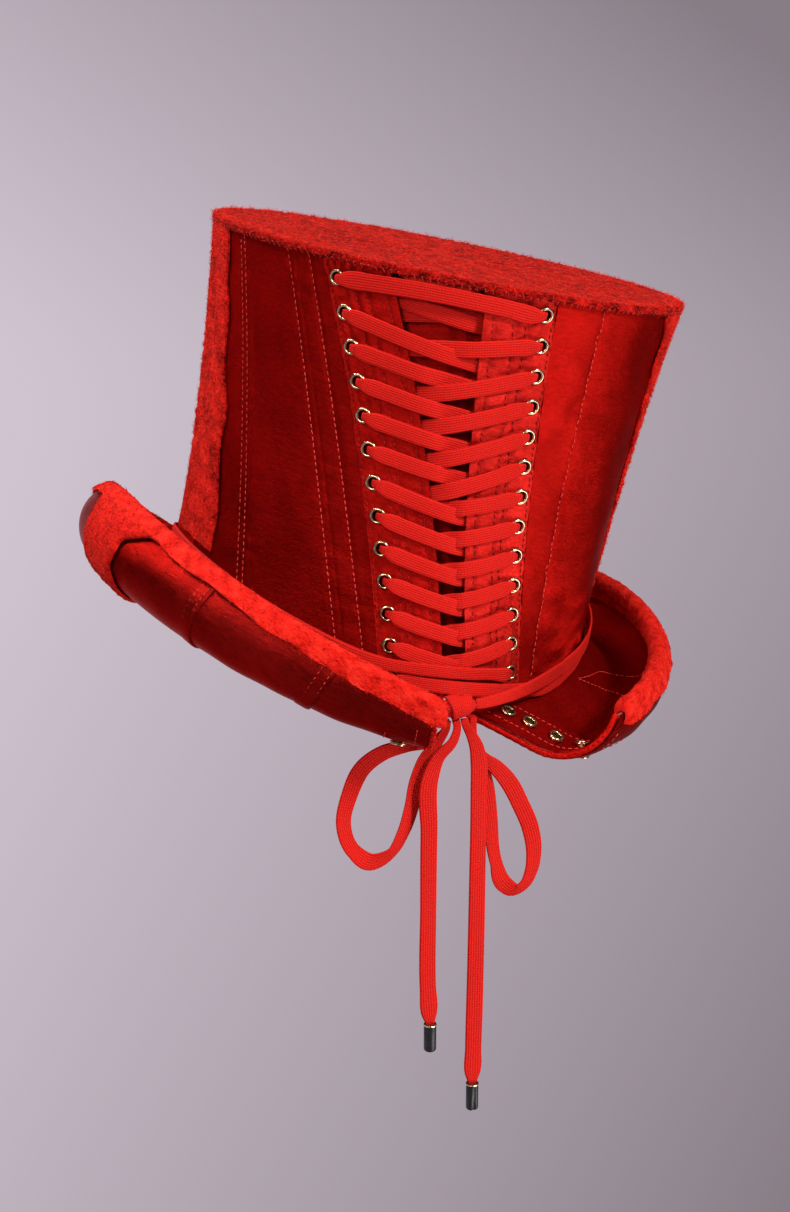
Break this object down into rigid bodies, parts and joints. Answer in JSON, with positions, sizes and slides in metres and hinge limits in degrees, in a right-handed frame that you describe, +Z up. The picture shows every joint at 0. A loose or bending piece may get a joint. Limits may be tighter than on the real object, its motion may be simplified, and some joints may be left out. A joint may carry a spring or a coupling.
{
  "type": "top hat",
  "caption": "Tall oval top hat with a corset-laced back, felt tip and edging, satin panels, and a rolled brim split at the back under a hanging bow.",
  "frame": {"origin": "middle of the head opening", "axes": "+Z up, against the pull on the hanging lace; -Y towards the laced back; +X to the right of someone who looks at the back. The crown leans towards +X, as it is held in the picture"},
  "size_m": [0.2471, 0.3029, 0.3448],
  "materials": {
    "satin": "satin weave",
    "felt": "napped felt",
    "lace": "flat knitted cord",
    "foundation": "stiffened buckram",
    "lining": "plain weave",
    "sweatband": "smooth",
    "antique_brass": "antique",
    "steel": "plain",
    "aglet": "gloss"
  },
  "bodies": {
    "hat": {"crown_foundation": "foundation", "tip_board": "foundation", "tip_felt": "felt", "left_rear_panel": "satin", "left_quarter_panel": "satin", "left_side_panel": "satin", "right_rear_panel": "satin", "right_side_panel": "satin", "front_panel": "satin", "left_felt_strip": "felt", "right_felt_strip": "felt", "left_placket_facing": "satin", "right_placket_facing": "satin", "left_placket_backing": "satin", "right_placket_backing": "satin", "left_bone": "steel", "right_bone": "steel", "left_eyelets": "antique_brass", "right_eyelets": "antique_brass", "left_washers": "antique_brass", "right_washers": "antique_brass", "tongue": "satin", "crown_lining": "lining", "tip_lining": "lining", "sweatband": "sweatband", "brim_foundation": "foundation", "brim_satin": "satin", "under_satin": "satin", "brim_wire": "steel", "brim_felt_band": "felt", "left_under_strip": "felt", "right_under_strip": "felt", "left_split_binding": "felt", "right_split_binding": "felt", "left_brim_eyelets": "antique_brass", "right_brim_eyelets": "antique_brass", "left_brim_washers": "antique_brass", "right_brim_washers": "antique_brass", "lace": "lace", "bow_knot": "lace"},
    "left_loop": {"left_loop": "lace"},
    "right_loop": {"right_loop": "lace"},
    "left_tail": {"left_tail": "lace", "left_aglet": "aglet"},
    "right_tail": {"right_tail": "lace", "right_aglet": "aglet"}
  },
  "joints": [
    {"name": "left_loop_swing", "type": "hinge", "parent": "hat", "child": "left_loop", "pos_m": [-0.0084, -0.115, -0.00326], "axis": [1, 0, 0], "range_deg": [-30, 5]},
    {"name": "right_loop_swing", "type": "hinge", "parent": "hat", "child": "right_loop", "pos_m": [-0.0084, -0.115, -0.00326], "axis": [1, 0, 0], "range_deg": [-30, 5]},
    {"name": "left_tail_swing", "type": "hinge", "parent": "left_loop", "child": "left_tail", "pos_m": [-0.0084, -0.115, -0.00326], "axis": [1, 0, 0], "range_deg": [-40, 0]},
    {"name": "right_tail_swing", "type": "hinge", "parent": "right_loop", "child": "right_tail", "pos_m": [-0.0084, -0.115, -0.00326], "axis": [1, 0, 0], "range_deg": [-40, 0]}
  ]
}
